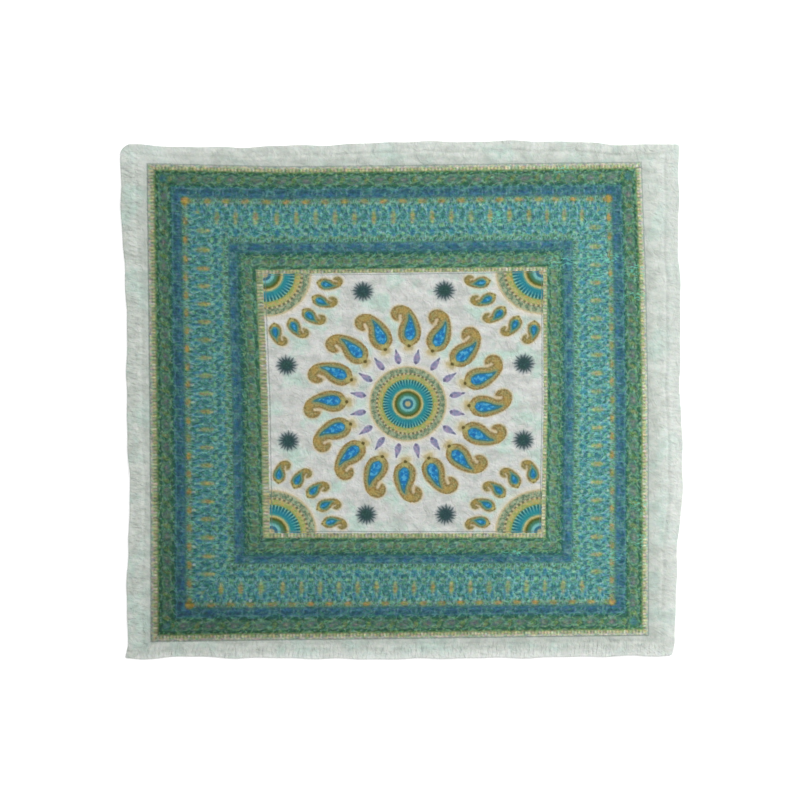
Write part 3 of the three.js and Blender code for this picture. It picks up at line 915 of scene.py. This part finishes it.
dark_green = add("Mix", [uneven, "#324E4A", "#324A4E"], "RGBA")
star_core = spot(star, 0, 0, 9.6, 9.6, 1, 0.7)
stars = [
    (spot(star, 0, 0, 16.6, 16.6, 0.85, 0.6), "#728286"),
    (rays, "#3A4C50", add("MapRange", [star_far, 9, 19, 0.9, 0.6])),
    (star_core, dark_green),
    (add("MapRange", [mottle, 0.52, 0.68, 0, 0.4]), "#46706A", star_core),
]
field = over(field, paisley + leaves + stars)

# The print as a whole: the field and the margin are unprinted ground, each edged by a fine line.
in_field = add("MapRange", [out, 232, 230.8, 0, 1])
in_margin = add("MapRange", [out, 418.8, 420.4, 0, 1])
whole = [
    (in_field, field),
    (in_margin, margin),
    (stripe(out, 227.8, 229.6, 0.55, 1.2), "#747E78"),
    (stripe(out, 419.2, 421.6, 0.55, 1.8), "#74847A"),
]
cloth = over(border, whole)

# The crushed pile leans every way, so it is lighter and darker in grains a few mm across, a painted
# sheen, and each grain turns the dyes a little. The pale ground shows it less than the dyes do.
sheen_grain_grey, sheen_and_dye_grain = patchy(8, 5, detail=2.0, out="all", Roughness=0.6)
sheen_and_dye_grain = add("Mix", [0.5, sheen_and_dye_grain, sheen_grain_grey], "RGBA")
contrast = 2.0
sheen_and_dye_grain = add("VectorMath", [sheen_and_dye_grain, (contrast,) * 3, (1 - contrast / 2,) * 3], "MULTIPLY_ADD")
dyed = add("MapRange", [add("ADD", [in_field, in_margin]), 0, 1, 0.9, 0.14])
cloth = add("Mix", [dyed, cloth, sheen_and_dye_grain], "RGBA", blend_type="MULTIPLY")

# Painted light and shade: the dyes are darker where the pile would lean away from the light, most of it on
# the left, and in patches elsewhere.
painted_shade_slope = add("VectorMath", [flat_place, (0.9, 0.25, 0)], "DOT_PRODUCT")
painted_light_and_shade = patchy(58, 34, detail=3.0, levels=(0.3, 0.7, -160, 160), Roughness=0.6)
painted_light_and_shade = add("MapRange", [add("ADD", [painted_light_and_shade, painted_shade_slope]), -520, 520, 0.66, 1.14])
# Broad patches of painted light and shade: across, up, half their width and height in mm, and how much
# brighter.
broad_painted_shades = [(390, -190, 240, 340, 0.13), (-430, -410, 140, 130, -0.12), (440, 300, 110, 210, -0.07)]
for patch in broad_painted_shades:
    painted_light_and_shade = add("ADD", [painted_light_and_shade, spot(flat_place, *patch, 1.4)])
painted_light_and_shade = add("CombineXYZ", [painted_light_and_shade, painted_light_and_shade, painted_light_and_shade])
cloth = add("Mix", [dyed, cloth, painted_light_and_shade], "RGBA", blend_type="MULTIPLY")

# Painted highlights: here and there a crushed fold of the pile glints, painted into the dyes as pale aqua.
# Each painted glint: across, up, half its length and half its width, in mm.
painted_glint_folds = [
    (344, 254, 40, 11), (264, 249, 26, 11), (337, 222, 26, 9), (401, 232, 20, 14),
    (404, 186, 28, 8), (156, 326, 16, 12), (274, 410, 24, 6), (-204, 310, 26, 4),
    (408, -183, 16, 14), (408, -246, 14, 12), (358, -274, 16, 10), (186, -266, 20, 6),
    (60, -260, 12, 6),
]
painted_glints = patchy(7, 3.2, levels=(0.53, 0.64, 0, 0.52), Distortion=0.5)
painted_glint_spread = 0.0
for fold in painted_glint_folds:
    painted_glint_spread = add("ADD", [painted_glint_spread, spot(flat_place, *fold, 1, 1.2)])
painted_glints = add("MULTIPLY", [painted_glints, painted_glint_spread])
painted_glints = add("MULTIPLY", [painted_glints, dyed], use_clamp=True)
cloth = over(cloth, [(painted_glints, "#7CDCC4")])

# The dyes above are as bright as they look on the lit cloth. The lamps are this much brighter
# than one, and the sheen of the pile adds a little white.
brightness, sheen_white, darkest = 1.62, 0.022, 0.002
dimmer = [(1 / brightness,) * 3, (-sheen_white / brightness,) * 3]
cloth = add("VectorMath", [cloth, *dimmer], "MULTIPLY_ADD")
cloth = add("VectorMath", [cloth, (darkest,) * 3], "MAXIMUM")

# Fine relief in mm: the small creases of the crushing, the nap, drawn coarse enough to show, and
# the gathers that the stitching draws into the hem and a little way in from it.
creasing = patchy(17, detail=3.0, Roughness=0.55, Distortion=1.0)
crush_depth = add("MapRange", [dyed, 0.14, 0.9, 1.75, 2.6])
wrinkles = apart(patchy(11, Distortion=0.6), 0.5)
wrinkle_depth = add("MapRange", [in_margin, 0, 1, 1.6, 0.9])
gather_pitch, gather_length, gather_slant = 5.2, 15, 0.03
gather_along = add("MULTIPLY_ADD", [out, gather_slant, add("MULTIPLY", [along, 1 / gather_pitch])])
gather_out = add("MULTIPLY", [out, 1 / gather_length])
gathers = {"Vector": add("CombineXYZ", [gather_along, gather_out]), "Scale": 1.0, "Detail": 1.0}
gathers = add("TexNoise", {**gathers, "Distortion": 0.3}, "2D")
gather_depth = per_side(left=1.9, right=0.5, bottom=2.3, top=0.5)
gather_depth = add("MULTIPLY", [gather_depth, add("MapRange", [out, 421, 436, 0, 1])])
relief = add("MULTIPLY", [creasing, crush_depth])
for pattern, depth in ((patchy(2.2), 0.1), (wrinkles, wrinkle_depth), (gathers, gather_depth)):
    relief = add("MULTIPLY_ADD", [pattern, depth, relief])

finish = {
    "Base Color": cloth,
    "Normal": add("Bump", {"Height": relief, "Distance": MM, "Strength": 1.0}),
    "Roughness": 0.85,
    "Specular IOR Level": 0.3,
    "Sheen Weight": 0.3,
    "Sheen Roughness": 0.4,
}
add("OutputMaterial", [add("BsdfPrincipled", finish)])

# The back is plain woven, off-white threads over and under each other, dull and without sheen.
# They are drawn about twice as coarse as they are, to show.
tree = start_material(velvet, "plain woven polyester back")
thread_pitch, thread_relief = 0.8, 0.12
weave = add("TexCoord", out="Object")
weave = add("VectorMath", [weave, (math.pi / thread_pitch / MM,) * 3], "MULTIPLY")
weave_x, weave_y, _ = add("SeparateXYZ", [weave], out="all")
crossing = add("MULTIPLY", [add("SINE", [weave_x]), add("SINE", [weave_y])])
slub = add("TexNoise", {"Vector": weave, "Scale": 0.05, "Detail": 2.0})
thread_shade = add("MULTIPLY_ADD", [add("MapRange", [crossing, -1, 1, 0, 1]), 0.5, slub])
raised = {"Height": add("ABSOLUTE", [crossing]), "Distance": thread_relief * MM, "Strength": 1.0}
finish = {
    "Base Color": add("Mix", [thread_shade, "#A8ACA6", "#C6C9C2"], "RGBA"),
    "Normal": add("Bump", raised),
    "Roughness": 0.9,
    "Specular IOR Level": 0.25,
}
add("OutputMaterial", [add("BsdfPrincipled", finish)])
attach(velvet, "root")
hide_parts("velvet_cloth")

# The hem stitches
# Lockstitch in pale polyester thread, which holds the turned edge down. Each stitch lies in the
# seam's groove, on the face and on the back, and dives into the cloth at both its ends.
stitch_pitch, stitch_length = 3.0, 2.5
thread_radius, stitch_rise = 0.17, 0.12
stitch_steps, stitch_sides = 5, 6
seam_share = 1.0
x, y, reach = lay(ring_u, ring_v, seam_share)
seam = np.column_stack([x, y, face_height(x, y, reach)]) - [*frame_origin, 0]
seam = np.vstack([seam, seam[:1]])
walked = np.concatenate([[0], np.cumsum(np.linalg.norm(np.diff(seam[:, :2], axis=0), axis=1))])
stitch_count = int(walked[-1] / stitch_pitch)
starts = np.arange(stitch_count) * walked[-1] / stitch_count
shares = np.linspace(0, 1, stitch_steps)
places = starts[:, None] + (shares * stitch_length)[None, :]
line_x, line_y, line_z = (np.interp(places, walked, seam[:, k]) for k in range(3))
headings = np.arctan2(line_y[:, -1] - line_y[:, 0], line_x[:, -1] - line_x[:, 0])[:, None, None]
arch = np.sin(math.pi * shares)[None, :]
rounds = 2 * math.pi * np.arange(stitch_sides) / stitch_sides
offset = thread_radius * np.cos(rounds)
points, faces = [], []
for level, facing in ((line_z + stitch_rise, 1), (np.full_like(line_z, back_height + thread_radius), -1)):
    z = level + facing * (arch - 1) * (thread_radius + stitch_rise)
    z = z[..., None] + thread_radius * np.sin(rounds)
    x = line_x[..., None] - np.sin(headings) * offset
    y = line_y[..., None] + np.cos(headings) * offset
    numbers = add_points(x, y, np.maximum(z, 0))
    turned = np.roll(numbers, -1, axis=2)
    quads = np.stack([numbers[:, :-1], numbers[:, 1:], turned[:, 1:], turned[:, :-1]], axis=-1)
    faces += quads.reshape(-1, 4).tolist()
stitches = make_piece("hem_stitches", np.concatenate(points), faces)

# Spun polyester thread, matt and nearly the colour of the ground.
tree = start_material(stitches, "spun polyester thread, matt")
add("OutputMaterial", [add("BsdfPrincipled", {"Base Color": "#A9AEA8", "Roughness": 0.8})])
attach(stitches, "root")

# The floor, the light and the camera
# A plain pale studio floor, even light from all round, and a soft lamp low on the right, which
# brings out the creases. The camera looks straight down.
bpy.ops.mesh.primitive_plane_add(size=12, location=(0, 0, -0.0002))
floor = bpy.context.object
floor.name = "floor"
tree = start_material(floor, "white paper")
add("OutputMaterial", [add("BsdfPrincipled", {"Base Color": "#F7F7F7"})])

world = bpy.data.worlds.new("studio")
scene.world = world
world.use_nodes = True
world.node_tree.nodes["Background"].inputs["Color"].default_value = (1, 1, 1, 1)
world.node_tree.nodes["Background"].inputs["Strength"].default_value = 1.12
lamp = bpy.data.lights.new("key", "AREA")
lamp.size = 1.4
lamp.energy = 195
key = bpy.data.objects.new("key", lamp)
key.location = (3.0, 2.4, 2.2)
scene.collection.objects.link(key)
key.rotation_euler = (-key.location).to_track_quat("-Z", "Y").to_euler()

photo_size, pixel = 800, 1.78 * MM
photo_middle = (-0.0016, 0.0011)
lens, sensor = 85, 36
camera_data = bpy.data.cameras.new("camera")
camera_data.lens = lens
camera_data.sensor_width = sensor
camera = bpy.data.objects.new("camera", camera_data)
camera.location = (*photo_middle, photo_size * pixel * lens / sensor)
scene.collection.objects.link(camera)
scene.camera = camera
scene.view_settings.view_transform = "Standard"
